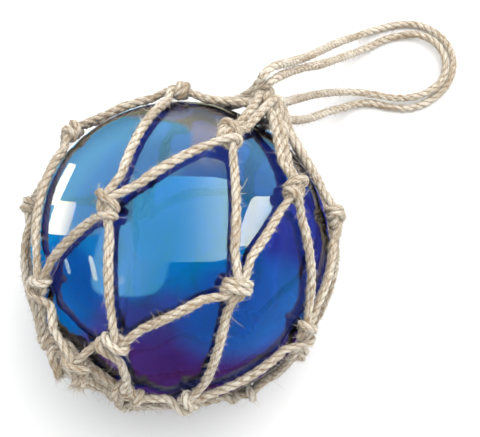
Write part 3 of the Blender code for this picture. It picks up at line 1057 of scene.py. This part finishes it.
class FLOAT_OT_glass(bpy.types.Operator):
    """Blows the hollow glass ball"""

    bl_idname = "glass_float.glass"
    bl_label = "Glass Ball"

    def execute(self, context):
        settings = context.scene.float_glass
        look = shared_material("blue_glass", blown_glass, settings)
        polar = (np.arange(GLASS_RINGS + 1) / GLASS_RINGS * pi)[1:-1, None]
        azimuth = np.arange(GLASS_SEGMENTS) / GLASS_SEGMENTS * 2 * pi
        height = np.broadcast_to(np.cos(polar), (len(polar), GLASS_SEGMENTS))
        grid = np.stack([np.sin(polar) * np.cos(azimuth), np.sin(polar) * np.sin(azimuth), height], axis=-1)
        numbers = np.arange(height.size).reshape(height.shape)
        after = np.roll(numbers, -1, axis=1)
        quads = np.stack([numbers[:-1], numbers[1:], after[1:], after[:-1]], axis=-1).reshape(-1, 4)
        top, bottom = numbers.size, numbers.size + 1
        faces = quads.tolist()
        faces += [[int(a), int(b), top] for a, b in zip(numbers[0], after[0])]
        faces += [[int(b), int(a), bottom] for a, b in zip(numbers[-1], after[-1])]
        unit_points = np.vstack([grid.reshape(-1, 3), (0, 0, 1), (0, 0, -1)])
        outer = unit_points * BALL_RADIUS
        outer[:, 2] = np.maximum(outer[:, 2], -BALL_CENTRE[2])
        inner = unit_points * (BALL_RADIUS - settings.wall) * self.waves(unit_points, settings)[:, None]
        vertices = np.vstack([outer, inner]) + BALL_CENTRE
        inside = [[number + len(outer) for number in reversed(face)] for face in faces]
        thing = new_object("hollow_glass_ball", vertices, faces + inside, look)
        belongs(thing, "glass_ball")
        return {"FINISHED"}

    @staticmethod
    def waves(places, settings):
        """Long, shallow waves on the inner face, against its radius."""
        random = np.random.default_rng(5)
        total = np.zeros(len(places))
        for _ in range(WAVES):
            way = unit(random.normal(size=3)) * random.uniform(2, 9)
            total += np.sin(places @ way * pi + random.uniform(0, 2 * pi)) / np.linalg.norm(way)
        return 1 + total * settings.ripple / BALL_RADIUS


FLOOR_REACH = 3.0                                 # from the middle of the floor to its edges
KEY_LIGHT_PLACE = (0.45, 0.0, 1.1)
KEY_LIGHT_SIZE = 1.5
KEY_LIGHT_POWER = 20
KEY_LIGHT_COLOUR = (1, 0.98, 0.95)


class FLOAT_OT_stage(bpy.types.Operator):
    """Lays the floor and hangs the soft light"""

    bl_idname = "glass_float.stage"
    bl_label = "Floor and Light"

    def execute(self, context):
        settings = context.scene.float_studio
        reach = FLOOR_REACH
        corners = [(-reach, -reach, 0), (reach, -reach, 0), (reach, reach, 0), (-reach, reach, 0)]
        floor = new_object("floor", corners, [(0, 1, 2, 3)], floor_paint(settings))
        floor.visible_glossy = False
        self.sky(context, settings)
        context.scene.view_settings.view_transform = "Standard"
        self.key_light(context)
        return {"FINISHED"}

    @staticmethod
    def sky(context, settings):
        """The plain light all round, and the coloured studio walls that show only in the glass."""
        world = bpy.data.worlds.new("sky")
        context.scene.world = world
        shader = Shader(world)
        plain_light = shader.tree.nodes["Background"]
        shader.feed(plain_light, {"Color": solid(settings.sky), "Strength": settings.sky_strength})
        walls = shader.node("ShaderNodeBackground", None,
                            {"Color": studio_walls(shader), "Strength": WALL_STRENGTH})
        light_path = shader.node("ShaderNodeLightPath")
        both = shader.node("ShaderNodeMixShader", None, {0: light_path.outputs["Is Singular Ray"]})
        shader.feed(both, {1: plain_light.outputs[0], 2: walls.outputs[0]})
        shader.feed(shader.tree.nodes["World Output"], {"Surface": both.outputs[0]})

    @staticmethod
    def key_light(context):
        """One broad soft light, which neither shows nor is mirrored."""
        light = bpy.data.lights.new("key_light", "AREA")
        light.shape = "RECTANGLE"
        light.size = light.size_y = KEY_LIGHT_SIZE
        light.energy = KEY_LIGHT_POWER
        light.color = KEY_LIGHT_COLOUR
        thing = bpy.data.objects.new("key_light", light)
        context.scene.collection.objects.link(thing)
        thing.location = KEY_LIGHT_PLACE
        back = Vector(KEY_LIGHT_PLACE) - Vector(BALL_CENTRE)
        thing.rotation_euler = back.to_track_quat("Z", "Y").to_euler()
        thing.visible_camera = False
        thing.visible_glossy = False
        thing.visible_transmission = False


class FLOAT_PT_panel(bpy.types.Panel):
    """Lists the float's pieces and their settings"""

    bl_label = "Glass Float"
    bl_idname = "FLOAT_PT_panel"
    bl_space_type = "VIEW_3D"
    bl_region_type = "UI"
    bl_category = "Float"

    def draw(self, context):
        for operator in OPERATORS:
            self.layout.operator(operator.bl_idname)
        for name, group in SETTINGS.items():
            box = self.layout.box()
            for key in group.__annotations__:
                box.prop(getattr(context.scene, name), key)


OPERATORS = (FLOAT_OT_camera, FLOAT_OT_loop, FLOAT_OT_net, FLOAT_OT_glass, FLOAT_OT_stage)
SETTINGS = {
    "float_rope": FloatRopeSettings,
    "float_glass": FloatGlassSettings,
    "float_studio": FloatStudioSettings,
}
CLASSES = (*SETTINGS.values(), *OPERATORS, FLOAT_PT_panel)


def register():
    for item in CLASSES:
        bpy.utils.register_class(item)
    for name, group in SETTINGS.items():
        setattr(bpy.types.Scene, name, PointerProperty(type=group))


def unregister():
    for name in SETTINGS:
        delattr(bpy.types.Scene, name)
    for item in reversed(CLASSES):
        bpy.utils.unregister_class(item)


def main():
    register()
    bpy.ops.glass_float.camera()
    bpy.ops.glass_float.loop()
    bpy.ops.glass_float.net()
    bpy.ops.glass_float.glass()
    bpy.ops.glass_float.stage()


if __name__ == "__main__":
    main()
